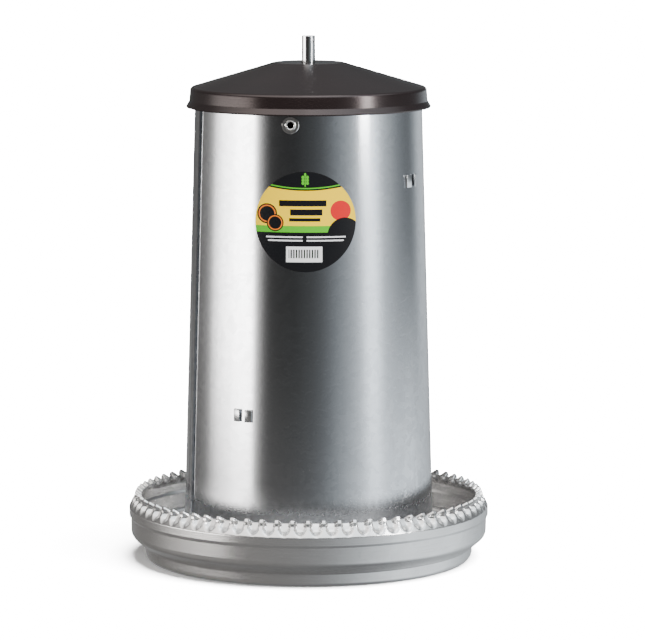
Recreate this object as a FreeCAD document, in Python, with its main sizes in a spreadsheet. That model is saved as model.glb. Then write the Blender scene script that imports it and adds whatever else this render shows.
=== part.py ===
import FreeCAD, Part
import os
import re
import Sketcher

# Gravity feeder for poultry: a galvanised pan with a crimped rim carries a centre tube, a tapered
# hopper hangs over the tube on two crossbars, and a plastic lid sits on the hopper.
# Millimetres, +Z up, origin on the floor under the centre of the pan. Azimuths are in degrees,
# measured from the front (-Y) towards +X.

SIZES = [
    ("pan_radius", 200.0, "outside of the pan's upper wall"),
    ("pan_height", 75.0, "floor to the top of the crimped lip"),
    ("pan_wall", 0.8, "pan sheet"),
    ("pan_step_width", 17.6, "how far the upper wall stands outside the lower one"),
    ("pan_step_low", 14.5, "height where the step starts"),
    ("pan_step_high", 27.0, "height where the step ends"),
    ("pan_bead_height", 47.5, "crease under the lip"),
    ("pan_bead_depth", 1.8, "how far the wall swells at the crease"),
    ("lip_bend_height", 57.5, "where the lip starts to lean inwards"),
    ("lip_lean", 8.7, "how far the lip leans inwards"),
    ("crimp_count", 72, "crimps round the lip"),
    ("crimp_notch", 2.2, "how far each notch between two crimps cuts outwards"),
    ("boss_height", 14.0, "raised centre of the pan"),
    ("boss_top_radius", 22.0, "flat on the raised centre"),
    ("boss_foot_radius", 60.0, "foot of the raised centre"),
    ("cone_wall", 0.6, "feed cone sheet"),
    ("cone_radius", 80.0, "foot of the feed cone"),
    ("cone_flange", 12.0, "flat flange round the cone's foot"),
    ("cone_height", 47.0, "top of the feed cone"),
    ("cone_collar", 5.0, "collar round the tube"),
    ("tube_radius", 7.5, "outside of the centre tube"),
    ("tube_wall", 1.0, "tube sheet"),
    ("tube_rise", 29.2, "tube standing above the lid's flat top"),
    ("hang_hole_radius", 2.5, "cross holes in the tube"),
    ("hang_hole_drop", 6.0, "hanging hole below the tube's top"),
    ("hole_azimuth", 55.0, "direction of every cross hole"),
    ("step_hole_count", 7, "height-setting holes"),
    ("step_hole_pitch", 12.0, "between height-setting holes"),
    ("step_holes_below", 3, "height-setting holes under the one in use"),
    ("bolt_radius", 4.0, "pan bolt"),
    ("bolt_length", 25.0, "pan bolt under its head"),
    ("bolt_head_height", 5.3, "hexagon head"),
    ("bolt_head_flats", 13.0, "across the flats"),
    ("washer_radius", 12.0, "both flat washers"),
    ("washer_wall", 1.6, "flat washers"),
    ("spring_washer_radius", 7.4, "split washer, outside"),
    ("spring_washer_wall", 2.0, "split washer"),
    ("spring_washer_gap", 1.5, "split"),
    ("plug_length", 20.0, "threaded plug in the foot of the tube"),
    ("feed_gap", 22.0, "floor to the hopper's bottom edge"),
    ("hopper_height", 501.0, "upright height"),
    ("hopper_bottom_radius", 139.0, "outside"),
    ("hopper_top_radius", 124.6, "outside"),
    ("hopper_wall", 0.6, "hopper sheet"),
    ("hem_height", 8.0, "folded edges"),
    ("hem_fold", 1.0, "between the two leaves of a folded edge"),
    ("seam_azimuth", -68.0, "near side of the lock seam"),
    ("seam_sweep", 4.3, "degrees covered by the lock seam"),
    ("seam_rise", 2.2, "lock seam standing out of the wall"),
    ("upper_bar_azimuth", 61.0, "front end of the upper crossbar"),
    ("upper_bar_height", 426.0, "middle of the upper crossbar"),
    ("lower_bar_azimuth", -31.5, "front end of the lower crossbar"),
    ("lower_bar_height", 176.0, "middle of the lower crossbar"),
    ("bar_width", 22.6, "outside of the channel"),
    ("bar_depth", 13.5, "height of the channel"),
    ("bar_wall", 1.2, "channel sheet"),
    ("tab_length", 8.0, "bent end of each flange"),
    ("tab_lift", 12.0, "degrees that a tab stands off the wall"),
    ("pin_radius", 2.4, "height pin"),
    ("pin_tip_reach", 18.0, "pin beyond the tube's centre"),
    ("pin_ring_reach", 28.0, "start of the pull ring from the tube's centre"),
    ("pin_ring_radius", 10.5, "middle of the ring's wire"),
    ("eyelet_azimuth", -8.6, "front eyelet"),
    ("eyelet_height", 491.5, "centre of the eyelets"),
    ("eyelet_bore_radius", 3.5, "through the eyelet"),
    ("eyelet_wall", 0.6, "eyelet sheet"),
    ("eyelet_flange_radius", 9.2, "outer flange"),
    ("eyelet_clinch_radius", 6.4, "flange rolled over inside"),
    ("clinch_play", 0.116, "rolled flange off the sloping wall"),
    ("label_azimuth", -1.4, "centre of the label"),
    ("label_height", 388.0, "centre of the label"),
    ("label_radius", 54.0, "round label"),
    ("label_wall", 0.15, "label film"),
    ("lid_wall", 2.0, "moulded lid"),
    ("lid_flat_radius", 38.7, "flat top"),
    ("lid_slope", 16.5, "degrees"),
    ("lid_skirt", 20.0, "corner to the bottom of the lip"),
    ("lid_lip_width", 3.5, "lip standing outside the skirt"),
    ("lid_lip_height", 6.0, "height of the flared lip"),
    ("lid_play", 3.5, "between the hopper and the lid's skirt"),
    ("seat_gap", 0.3, "left between resting pieces on different bodies"),
    ("press_gap", 0.02, "left between pressed or stuck pieces"),
    ("slot_play", 0.3, "round a flange in its wall slot"),
    ("tube_play", 0.6, "round the tube where pieces slide on it"),
    ("bolt_play", 0.25, "round the bolt"),
]

doc = FreeCAD.newDocument("poultry_feeder")
sheet = doc.addObject("Spreadsheet::Sheet", "Sizes")
for row, (name, value, note) in enumerate(SIZES, 1):
    sheet.set("A%d" % row, name)
    sheet.set("B%d" % row, str(value))
    sheet.set("C%d" % row, note)
    sheet.setAlias("B%d" % row, name)
doc.recompute()


# --- working with the sheet -----------------------------------------------------------------

def cells(text):
    """The expression with each size's name turned into its cell."""
    return re.sub(r"[a-z]+(?:_[a-z]+)+", lambda word: "Sizes." + word.group(), str(text))


def number(text):
    return float(sheet.evalExpression(cells(text)))


def bind(item, prop, text):
    item.setExpression(prop, cells(text))


def place(item, x="0", y="0", z="0", angle=None, axis=(0, 0, 1)):
    """Binds an object's place, and its turn about an axis, to the sheet."""
    item.Placement = FreeCAD.Placement(FreeCAD.Vector(0, 0, 0), FreeCAD.Rotation(FreeCAD.Vector(*axis), 0))
    for letter, text in zip("xyz", (x, y, z)):
        bind(item, "Placement.Base." + letter, text)
    if angle is not None:
        item.Placement.Rotation = FreeCAD.Rotation(FreeCAD.Vector(*axis), number(angle))
        bind(item, "Placement.Rotation.Angle", "(%s) * 1deg" % angle)


def face_outwards(item, azimuth, distance, height):
    """Points an object's own +Z away from the centre line at an azimuth."""
    turn = "(%s) * 1deg" % azimuth
    item.Placement.Rotation = FreeCAD.Rotation(FreeCAD.Vector(1, 0, 0), 90)
    bind(item, "Placement.Base.x", "(%s) * sin(%s)" % (distance, turn))
    bind(item, "Placement.Base.y", "-(%s) * cos(%s)" % (distance, turn))
    bind(item, "Placement.Base.z", height)
    bind(item, "Placement.Rotation.Axis.x", "cos(%s)" % turn)
    bind(item, "Placement.Rotation.Axis.y", "sin(%s)" % turn)


# --- sketches -------------------------------------------------------------------------------

def tie(sketch, kind, geometry, point, text):
    place_in_list = sketch.addConstraint(Sketcher.Constraint(kind, geometry, point, number(text)))
    bind(sketch, "Constraints[%d]" % place_in_list, text)


def draw(sketch, corners, closed):
    """Straight lines through the corners, each corner tied to the sheet and rounded if it has a radius."""
    points = [FreeCAD.Vector(number(corner[0]), number(corner[1]), 0) for corner in corners]
    count = len(points)
    lines = count if closed else count - 1
    for i in range(lines):
        sketch.addGeometry(Part.LineSegment(points[i], points[(i + 1) % count]), False)
    for i in range(lines if closed else lines - 1):
        sketch.addConstraint(Sketcher.Constraint("Coincident", i, 2, (i + 1) % lines, 1))
    for i, corner in enumerate(corners):
        geometry, point = (i, 1) if i < lines else (i - 1, 2)
        tie(sketch, "DistanceX", geometry, point, corner[0])
        tie(sketch, "DistanceY", geometry, point, corner[1])
    doc.recompute()
    for i, corner in enumerate(corners):
        if len(corner) < 3:
            continue
        before = (points[i - 1] + points[i]) * 0.5
        after = (points[i] + points[(i + 1) % count]) * 0.5
        arc = sketch.GeometryCount
        sketch.fillet((i - 1) % lines, i, before, after, number(corner[2]), True, True)
        radius = sketch.addConstraint(Sketcher.Constraint("Radius", arc, number(corner[2])))
        bind(sketch, "Constraints[%d]" % radius, corner[2])


def ring(sketch, radius, x="0", y="0"):
    """A circle tied to the sheet."""
    centre = FreeCAD.Vector(number(x), number(y), 0)
    circle = sketch.addGeometry(Part.Circle(centre, FreeCAD.Vector(0, 0, 1), number(radius)), False)
    place_in_list = sketch.addConstraint(Sketcher.Constraint("Radius", circle, number(radius)))
    bind(sketch, "Constraints[%d]" % place_in_list, radius)
    tie(sketch, "DistanceX", circle, 3, x)
    tie(sketch, "DistanceY", circle, 3, y)


def new_body(label):
    body = doc.addObject("PartDesign::Body", label)
    body.Label = label
    return body


def datum(body, role):
    """One of the body's own origin planes or axes."""
    return [item for item in body.Origin.OriginFeatures if item.Role == role][0]


def sketch_on(body, role, name, x="0", y="0", z="0"):
    """A sketch on one of the body's own origin planes, moved by an offset in that plane's axes."""
    sketch = body.newObject("Sketcher::SketchObject", name)
    sketch.AttachmentSupport = [(datum(body, role), "")]
    sketch.MapMode = "FlatFace"
    for letter, text in zip("xyz", (x, y, z)):
        bind(sketch, "AttachmentOffset.Base." + letter, text)
    return sketch


def pad(body, sketch, length, midplane=False):
    feature = body.newObject("PartDesign::Pad", sketch.Name + "_pad")
    feature.Profile = sketch
    feature.SideType = "Symmetric" if midplane else "One side"
    bind(feature, "Length", length)
    doc.recompute()
    return feature


def pocket_through(body, sketch):
    """Cuts through everything on both sides of the sketch."""
    before = body.Shape.Volume
    feature = body.newObject("PartDesign::Pocket", sketch.Name + "_pocket")
    feature.Profile = sketch
    feature.Type = "ThroughAll"
    feature.SideType = "Symmetric"
    doc.recompute()
    if not feature.Shape.Volume < before:
        raise RuntimeError(sketch.Name + " cuts nothing")
    return feature


# --- turned pieces --------------------------------------------------------------------------

def turned(label, profile, sweep="360"):
    """Turns a profile in the XZ plane about the Z axis."""
    piece = doc.addObject("Part::Revolution", label)
    piece.Label = label
    piece.Source = profile
    piece.Axis = (0, 0, 1)
    piece.Solid = True
    bind(piece, "Angle", sweep)
    return piece


def profile_sketch(name, corners, closed):
    sketch = doc.addObject("Sketcher::SketchObject", name)
    sketch.Placement = FreeCAD.Placement(
        FreeCAD.Vector(0, 0, 0), FreeCAD.Rotation(FreeCAD.Vector(1, 0, 0), 90))
    draw(sketch, corners, closed)
    return sketch


def turned_sheet(label, corners, wall):
    """Sheet metal turned about Z: the corners follow the middle of the sheet, and its edges are round."""
    path = profile_sketch(label + "_path", corners, False)
    section = doc.addObject("Part::Offset2D", label + "_section")
    section.Source = path
    section.Fill = True
    bind(section, "Value", "(%s) / 2" % wall)
    return turned(label, section)


def turned_solid(label, corners, sweep="360"):
    return turned(label, profile_sketch(label + "_profile", corners, True), sweep)


def boolean(kind, label, parts):
    piece = doc.addObject(kind, label)
    piece.Label = label
    if kind == "Part::Cut":
        piece.Base, piece.Tool = parts
    else:
        piece.Shapes = parts
    return piece


# --- heights and radii shared by several pieces ---------------------------------------------

TAPER = "((hopper_bottom_radius - hopper_top_radius) / hopper_height)"
HOPPER_TOP = "(feed_gap + hopper_height)"
LID_RISE = "tan(lid_slope * 1deg)"
LID_CORNER = "(hopper_top_radius + lid_play + lid_wall)"
# The lid's underside meets the hopper's top edge with the seat gap.
LID_CORNER_Z = "(%s + seat_gap + lid_wall / cos(lid_slope * 1deg) - (lid_play + lid_wall) * %s)" % (
    HOPPER_TOP, LID_RISE)
LID_TOP = "(%s + (%s - lid_flat_radius) * %s)" % (LID_CORNER_Z, LID_CORNER, LID_RISE)
TUBE_TOP = "(%s + tube_rise)" % LID_TOP
TUBE_FOOT = "(boss_height + washer_wall)"
HANG_HOLE = "(%s - hang_hole_drop)" % TUBE_TOP
PIN_HEIGHT = "(lower_bar_height - bar_depth / 2 - seat_gap - pin_radius)"
BOLT_SEAT = "(boss_height - pan_wall - washer_wall - spring_washer_wall)"


def hopper_radius(height):
    """Outside of the hopper's wall at a height above the floor."""
    return "(hopper_bottom_radius - (%s - feed_gap) * %s)" % (height, TAPER)


# --- the pan and what is bolted to it -------------------------------------------------------

def base_pan():
    """Pressed pan: raised centre, stepped wall and an inward lip notched by its crimps."""
    outside = "(pan_radius - pan_wall / 2)"
    lower = "(%s - pan_step_width)" % outside
    upper = "(%s - pan_bead_depth)" % outside
    pressing = turned_sheet("pan_pressing", [
        ("bolt_radius + bolt_play + pan_wall / 2", "boss_height - pan_wall / 2"),
        ("boss_top_radius", "boss_height - pan_wall / 2", "5"),
        ("boss_foot_radius", "pan_wall / 2", "8"),
        ("%s - 0.7" % lower, "pan_wall / 2", "6"),
        (lower, "pan_step_low", "2.5"),
        ("%s - 0.4" % upper, "pan_step_high", "9"),
        (upper, "pan_bead_height - 1.5", "1.2"),
        (outside, "pan_bead_height + 1.5", "1.2"),
        (outside, "lip_bend_height", "3"),
        ("%s - lip_lean" % outside, "pan_height - pan_wall / 2"),
    ], "pan_wall")
    # Each notch is one corner of an upright box, pointing outwards through the leaning lip.
    tip = "(pan_radius - pan_wall - lip_lean + crimp_notch)"
    notches = []
    for i in range(round(number("crimp_count"))):
        turn = "(%d * 360 / crimp_count)" % i
        notch = doc.addObject("Part::Box", "notch_%d" % i)
        bind(notch, "Length", "2 * crimp_notch")
        bind(notch, "Width", "2 * crimp_notch")
        bind(notch, "Height", "pan_height")
        place(notch, "%s * cos(%s * 1deg)" % (tip, turn), "%s * sin(%s * 1deg)" % (tip, turn),
              "lip_bend_height", "%s + 135" % turn)
        notches.append(notch)
    crimps = doc.addObject("Part::Compound", "crimp_notches")
    crimps.Links = notches
    return boolean("Part::Cut", "base_pan", (pressing, crimps))


def feed_cone():
    """Spun cone, spot-welded to the pan by its flange, that sheds the feed outwards."""
    floor = "(pan_wall + press_gap + cone_wall / 2)"
    collar = "(tube_radius + tube_play + cone_wall / 2)"
    return turned_sheet("feed_cone", [
        ("cone_radius + cone_flange", floor),
        ("cone_radius", floor, "3"),
        ("%s + 1.5" % collar, "cone_height", "1.5"),
        (collar, "cone_height + 2", "1.5"),
        (collar, "cone_height + cone_collar"),
    ], "cone_wall")


def centre_tube():
    """Steel tube with a hanging hole at the top and a row of height-setting holes low down."""
    body = new_body("centre_tube")
    section = sketch_on(body, "XY_Plane", "tube_section", z=TUBE_FOOT)
    ring(section, "tube_radius")
    ring(section, "tube_radius - tube_wall")
    pad(body, section, "%s - %s" % (TUBE_TOP, TUBE_FOOT))
    hang = sketch_on(body, "YZ_Plane", "hanging_hole")
    ring(hang, "hang_hole_radius", "0", HANG_HOLE)
    pocket_through(body, hang)
    lowest = sketch_on(body, "YZ_Plane", "lowest_step_hole")
    ring(lowest, "hang_hole_radius", "0", "%s - step_holes_below * step_hole_pitch" % PIN_HEIGHT)
    step_hole = pocket_through(body, lowest)
    row = body.newObject("PartDesign::LinearPattern", "step_holes")
    row.Originals = [step_hole]
    row.Direction = (datum(body, "Z_Axis"), [""])
    bind(row, "Length", "(step_hole_count - 1) * step_hole_pitch")
    bind(row, "Occurrences", "step_hole_count")
    body.Tip = row
    place(body, angle="hole_azimuth - 90")
    return body


def flat_ring(label, outer, inner, wall, height):
    """A washer, or a plug with a bore, standing on a height."""
    body = new_body(label)
    section = sketch_on(body, "XY_Plane", label + "_section")
    ring(section, outer)
    ring(section, inner)
    pad(body, section, wall)
    place(body, z=height)
    return body


def spring_washer():
    """Split ring under the bolt head, flattened by the tightened bolt."""
    body = flat_ring("spring_washer", "spring_washer_radius", "bolt_radius + bolt_play",
                     "spring_washer_wall", BOLT_SEAT)
    split = sketch_on(body, "XY_Plane", "spring_washer_split")
    draw(split, [
        ("0", "-spring_washer_gap / 2"),
        ("spring_washer_radius + 1", "-spring_washer_gap / 2"),
        ("spring_washer_radius + 1", "spring_washer_gap / 2"),
        ("0", "spring_washer_gap / 2"),
    ], True)
    pocket_through(body, split)
    return body


def pan_bolt():
    """Hexagon bolt that pulls the pan up against the foot of the tube."""
    body = new_body("pan_bolt")
    head = sketch_on(body, "XY_Plane", "bolt_head", z="-bolt_head_height")
    corner = "(bolt_head_flats / 2 / cos(30deg))"
    draw(head, [
        ("%s * cos(%ddeg)" % (corner, angle), "%s * sin(%ddeg)" % (corner, angle))
        for angle in range(0, 360, 60)
    ], True)
    pad(body, head, "bolt_head_height")
    shank = sketch_on(body, "XY_Plane", "bolt_shank")
    ring(shank, "bolt_radius")
    pad(body, shank, "bolt_length")
    place(body, z=BOLT_SEAT)
    return body


def height_pin():
    """Pin with a pull ring, through a height-setting hole and under the lower crossbar."""
    body = new_body("height_pin")
    shank = sketch_on(body, "YZ_Plane", "pin_shank", z="-pin_tip_reach")
    ring(shank, "pin_radius")
    pad(body, shank, "pin_tip_reach + pin_ring_reach + pin_radius")
    loop = sketch_on(body, "XY_Plane", "pin_loop", x="pin_ring_reach + pin_ring_radius")
    ring(loop, "pin_radius", "pin_ring_radius")
    turn = body.newObject("PartDesign::Revolution", "pin_ring")
    turn.Profile = loop
    turn.ReferenceAxis = (loop, ["V_Axis"])
    turn.Angle = 360
    place(body, z=PIN_HEIGHT, angle="hole_azimuth - 90")
    return body


# --- the hopper -----------------------------------------------------------------------------

def bar_slots(name, azimuth, height):
    """Cutter for the four wall slots of one crossbar."""
    cutters = []
    for side, sign in (("left", "-"), ("right", "")):
        box = doc.addObject("Part::Box", "%s_%s" % (name, side))
        bind(box, "Length", "2 * hopper_bottom_radius + 20")
        bind(box, "Width", "bar_wall + 2 * slot_play")
        bind(box, "Height", "bar_depth + 2 * slot_play")
        place(box, "-hopper_bottom_radius - 10",
              "%s(bar_width - bar_wall) / 2 - bar_wall / 2 - slot_play" % sign,
              "%s - bar_depth / 2 - slot_play" % height)
        cutters.append(box)
    slots = boolean("Part::MultiFuse", name, cutters)
    place(slots, angle="%s - 90" % azimuth)
    return slots


def hopper_shell():
    """Rolled sheet cone with folded edges, a lock seam, and its slots and eyelet holes."""
    bottom = "(hopper_bottom_radius - hopper_wall / 2)"
    top = "(hopper_top_radius - hopper_wall / 2)"
    low_edge = "(feed_gap + hopper_wall / 2)"
    high_edge = "(%s - hopper_wall / 2)" % HOPPER_TOP
    wall = turned_sheet("hopper_wall_sheet", [
        ("%s - hem_fold" % bottom, "%s + hem_height" % low_edge),
        ("%s - hem_fold" % bottom, low_edge, "hem_fold * 0.45"),
        (bottom, low_edge, "hem_fold * 0.45"),
        (top, high_edge, "hem_fold * 0.45"),
        ("%s - hem_fold" % top, high_edge, "hem_fold * 0.45"),
        ("%s - hem_fold" % top, "%s - hem_height" % high_edge),
    ], "hopper_wall")
    seam_low = "(feed_gap + hem_height)"
    seam_high = "(%s - hem_height)" % HOPPER_TOP
    seam = turned_solid("lock_seam", [
        ("%s - hopper_wall / 2" % hopper_radius(seam_low), seam_low),
        ("%s + seam_rise" % hopper_radius(seam_low), seam_low),
        ("%s + seam_rise" % hopper_radius(seam_high), seam_high),
        ("%s - hopper_wall / 2" % hopper_radius(seam_high), seam_high),
    ], "seam_sweep")
    place(seam, angle="seam_azimuth - seam_sweep - 90")
    joined = boolean("Part::MultiFuse", "seamed_sheet", [wall, seam])
    eyelet_cutter = doc.addObject("Part::Cylinder", "eyelet_cutter")
    bind(eyelet_cutter, "Radius", "eyelet_bore_radius + eyelet_wall + slot_play")
    bind(eyelet_cutter, "Height", "2 * hopper_bottom_radius")
    face_outwards(eyelet_cutter, "eyelet_azimuth", "-hopper_bottom_radius", "eyelet_height")
    holes = boolean("Part::MultiFuse", "hopper_holes", [
        bar_slots("upper_slots", "upper_bar_azimuth", "upper_bar_height"),
        bar_slots("lower_slots", "lower_bar_azimuth", "lower_bar_height"),
        eyelet_cutter,
    ])
    return boolean("Part::Cut", "hopper_shell", (joined, holes))


def crossbar(label, azimuth, height):
    """Channel across the hopper: its flanges pass through wall slots and are bent over outside."""
    radius = hopper_radius(height)
    inside = "(%s - hopper_wall - bar_width * bar_width / 8 / %s - 1)" % (radius, radius)
    hinge = "(%s + bar_depth / 2 * %s + bar_wall + slot_play / 2)" % (radius, TAPER)
    lean = "tab_lift * 1deg"
    outer = "(bar_width / 2)"
    inner = "(bar_width / 2 - bar_wall)"
    hook = [
        ("%s - bar_wall * cos(%s) + bar_wall * (1 - sin(%s)) * tan(%s)" % (hinge, lean, lean, lean), inner),
        ("%s + tab_length * sin(%s) - bar_wall * cos(%s)" % (hinge, lean, lean),
         "%s - tab_length * cos(%s) - bar_wall * sin(%s)" % (outer, lean, lean)),
        ("%s + tab_length * sin(%s)" % (hinge, lean), "%s - tab_length * cos(%s)" % (outer, lean)),
        (hinge, outer),
    ]
    other_hook = [("-(%s)" % x, y) for x, y in reversed(hook)]
    body = new_body(label)
    web = sketch_on(body, "XY_Plane", label + "_web", z="bar_depth / 2 - bar_wall")
    draw(web, [
        ("-%s" % inside, "-%s" % outer),
        (inside, "-%s" % outer),
        (inside, outer),
        ("-%s" % inside, outer),
    ], True)
    pad(body, web, "bar_wall")
    flange = sketch_on(body, "XY_Plane", label + "_flange", z="-bar_depth / 2")
    draw(flange, hook + other_hook, True)
    flange_pad = pad(body, flange, "bar_depth")
    mirror = body.newObject("PartDesign::Mirrored", label + "_other_flange")
    mirror.Originals = [flange_pad]
    mirror.MirrorPlane = (datum(body, "XZ_Plane"), [""])
    body.Tip = mirror
    doc.recompute()
    hole = sketch_on(body, "XY_Plane", label + "_tube_hole")
    ring(hole, "tube_radius + tube_play")
    pocket_through(body, hole)
    place(body, z=height, angle="%s - 90" % azimuth)
    return body


def eyelet(label, azimuth):
    """Hollow rivet: a flange outside, a raised bead round the bore, and an edge clinched inside."""
    barrel = "(eyelet_bore_radius + eyelet_wall / 2)"
    standoff = "(eyelet_flange_radius * eyelet_flange_radius / 2 / hopper_top_radius" \
               " + eyelet_flange_radius * %s + eyelet_wall / 2)" % TAPER
    inside = "(-hopper_wall - eyelet_wall / 2 - clinch_play - eyelet_clinch_radius * %s)" % TAPER
    piece = turned_sheet(label, [
        ("eyelet_flange_radius - eyelet_wall / 2", standoff),
        ("eyelet_bore_radius + 2.2", standoff, "0.5"),
        ("eyelet_bore_radius + 1.6", "%s + 1.3" % standoff, "0.7"),
        (barrel, "%s + 1.3" % standoff, "0.8"),
        (barrel, inside, "0.5"),
        ("eyelet_clinch_radius - eyelet_wall / 2", "%s - 0.3" % inside),
    ], "eyelet_wall")
    face_outwards(piece, azimuth, hopper_radius("eyelet_height"), "eyelet_height")
    return piece


def label():
    """Round printed film stuck to the front of the hopper."""
    low = "(label_height - label_radius - 2)"
    high = "(label_height + label_radius + 2)"
    skin = turned_solid("label_skin", [
        ("%s + press_gap" % hopper_radius(low), low),
        ("%s + press_gap + label_wall" % hopper_radius(low), low),
        ("%s + press_gap + label_wall" % hopper_radius(high), high),
        ("%s + press_gap" % hopper_radius(high), high),
    ])
    cutter = doc.addObject("Part::Cylinder", "label_cutter")
    bind(cutter, "Radius", "label_radius")
    bind(cutter, "Height", "hopper_bottom_radius + 10")
    face_outwards(cutter, "label_azimuth", "0", "label_height")
    return boolean("Part::MultiCommon", "label", [skin, cutter])


def lid():
    """Moulded lid: flat top round the tube, shallow cone, skirt and a small flared lip."""
    corner = "(%s - lid_wall / 2)" % LID_CORNER
    top = "(%s - lid_wall / 2)" % LID_TOP
    corner_z = "(%s - lid_wall / 2)" % LID_CORNER_Z
    lip_z = "(%s - lid_skirt)" % corner_z
    return turned_sheet("lid", [
        ("tube_radius + tube_play + lid_wall / 2", top),
        ("lid_flat_radius", top, "6"),
        (corner, corner_z, "3"),
        ("%s + 1.2" % corner, "%s + lid_lip_height" % lip_z, "2"),
        ("%s + 1.2 + lid_lip_width" % corner, lip_z),
    ], "lid_wall")


pieces = [
    base_pan(),
    feed_cone(),
    centre_tube(),
    flat_ring("tube_plug", "tube_radius - tube_wall - press_gap", "bolt_radius + press_gap",
              "plug_length", TUBE_FOOT),
    flat_ring("foot_washer", "washer_radius", "bolt_radius + bolt_play", "washer_wall", "boss_height"),
    flat_ring("bolt_washer", "washer_radius", "bolt_radius + bolt_play", "washer_wall",
              "boss_height - pan_wall - washer_wall"),
    spring_washer(),
    pan_bolt(),
    height_pin(),
    hopper_shell(),
    crossbar("upper_crossbar", "upper_bar_azimuth", "upper_bar_height"),
    crossbar("lower_crossbar", "lower_bar_azimuth", "lower_bar_height"),
    eyelet("front_eyelet", "eyelet_azimuth"),
    eyelet("back_eyelet", "eyelet_azimuth + 180"),
    label(),
    lid(),
]
doc.recompute()

faults = [item.Label for item in doc.Objects if "Invalid" in item.State or "Error" in item.State]
for piece in pieces:
    if piece.Shape.isNull() or not piece.Shape.isValid() or not piece.Shape.Solids:
        faults.append(piece.Label)
if faults:
    raise RuntimeError("not built: " + ", ".join(faults))

os.makedirs("parts", exist_ok=True)
for piece in pieces:
    piece.Shape.exportStep("parts/%s.step" % piece.Label)
    print("%-16s %10.1f mm3, %d solid(s)" % (piece.Label, piece.Shape.Volume, len(piece.Shape.Solids)))
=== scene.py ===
import bpy, bmesh, math
from mathutils import Matrix, Vector


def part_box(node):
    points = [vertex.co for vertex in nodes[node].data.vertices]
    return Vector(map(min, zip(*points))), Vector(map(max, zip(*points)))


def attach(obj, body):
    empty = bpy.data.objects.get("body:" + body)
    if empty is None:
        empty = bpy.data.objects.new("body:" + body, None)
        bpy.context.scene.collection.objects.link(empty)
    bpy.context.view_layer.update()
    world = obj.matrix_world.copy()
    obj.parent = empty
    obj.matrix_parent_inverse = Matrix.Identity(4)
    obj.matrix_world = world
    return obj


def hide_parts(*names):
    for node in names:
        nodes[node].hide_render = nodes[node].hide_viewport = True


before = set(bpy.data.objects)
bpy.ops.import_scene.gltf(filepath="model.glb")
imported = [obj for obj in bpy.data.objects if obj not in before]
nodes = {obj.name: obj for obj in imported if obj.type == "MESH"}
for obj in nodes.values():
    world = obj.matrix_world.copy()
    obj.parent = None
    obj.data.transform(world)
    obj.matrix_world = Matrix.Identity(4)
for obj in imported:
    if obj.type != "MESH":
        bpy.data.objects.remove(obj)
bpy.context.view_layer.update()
scene = bpy.context.scene
MM = 0.001

# Camera, floor and studio light. A long lens looks slightly down at the feeder from the front. The
# room is a plain pale studio: one broad soft panel on the left, a narrow strong one on the right, and
# a dark opening round the camera between them, which is what draws the upright bands on the zinc.
camera_data = bpy.data.cameras.new("studio_camera")
camera_data.lens = 209.5
camera_data.sensor_width = 36.0
camera_data.dof.use_dof = False
camera = bpy.data.objects.new("studio_camera", camera_data)
scene.collection.objects.link(camera)
camera.location = (0.0154, -4.125, 0.824)
camera.rotation_euler = (math.radians(90 - 7.72), 0, 0)
scene.camera = camera

floor_mesh = bpy.data.meshes.new("studio_floor")
FLOOR_HALF = 9.0
floor_corners = [(x * FLOOR_HALF, y * FLOOR_HALF, 0) for x, y in ((-1, -1), (1, -1), (1, 1), (-1, 1))]
floor_mesh.from_pydata(floor_corners, [], [(0, 1, 2, 3)])
floor = bpy.data.objects.new("studio_floor", floor_mesh)
scene.collection.objects.link(floor)
floor.visible_glossy = False
floor.visible_diffuse = False
paper = bpy.data.materials.new("studio_paper")
paper.use_nodes = True
paper.node_tree.nodes["Principled BSDF"].inputs["Base Color"].default_value = (0.93, 0.93, 0.93, 1)
paper.node_tree.nodes["Principled BSDF"].inputs["Roughness"].default_value = 0.9
paper.node_tree.nodes["Principled BSDF"].inputs["Specular IOR Level"].default_value = 0.0
floor_mesh.materials.append(paper)

# The studio walls, as brightness against the compass bearing round the feeder: 0 is the camera's
# side, positive bearings are to the right.
WALLS = [
    (-180, 0.5), (-161, 0.15), (-133, 0.22), (-115, 0.5), (-104, 2.6), (-92, 6.5), (-79, 9.5), (-66, 12.5),
    (-59, 12.0), (-53, 3.0), (-47, 0.5), (-40, 0.1), (-30, 0.04), (-16, 0.035), (-4, 0.055), (8, 0.09),
    (17, 0.15), (25, 0.25), (33, 0.38), (42, 0.6), (50, 1.0), (58, 2.2), (64, 2.8), (72, 1.9), (80, 0.9),
    (91, 0.5), (103, 0.28), (117, 0.2), (128, 0.35), (138, 0.7), (150, 0.9), (180, 0.5),
]
# The lit paper below the horizon, which the pan and the foot of the hopper mirror.
PAPER_GLOW = [
    (-180, 0.4), (-130, 0.2), (-100, 0.3), (-60, 0.26), (-40, 0.2), (0, 0.24), (20, 0.45), (45, 1.1),
    (70, 1.9), (105, 2.0), (130, 1.2), (180, 0.4),
]
world = bpy.data.worlds.new("studio_walls")
scene.world = world
world.use_nodes = True
wall_nodes = world.node_tree
wall_nodes.nodes.clear()


def world_node(kind, **settings):
    node = wall_nodes.nodes.new(kind)
    for key, value in settings.items():
        setattr(node, key, value)
    return node


direction = world_node("ShaderNodeTexCoord")
split = world_node("ShaderNodeSeparateXYZ")
flip = world_node("ShaderNodeMath", operation="MULTIPLY")
flip.inputs[1].default_value = -1.0
bearing = world_node("ShaderNodeMath", operation="ARCTAN2")
turn = world_node("ShaderNodeMapRange")
turn.inputs["From Min"].default_value = -math.pi
turn.inputs["From Max"].default_value = math.pi
WALL_TOP = 13.0


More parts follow.
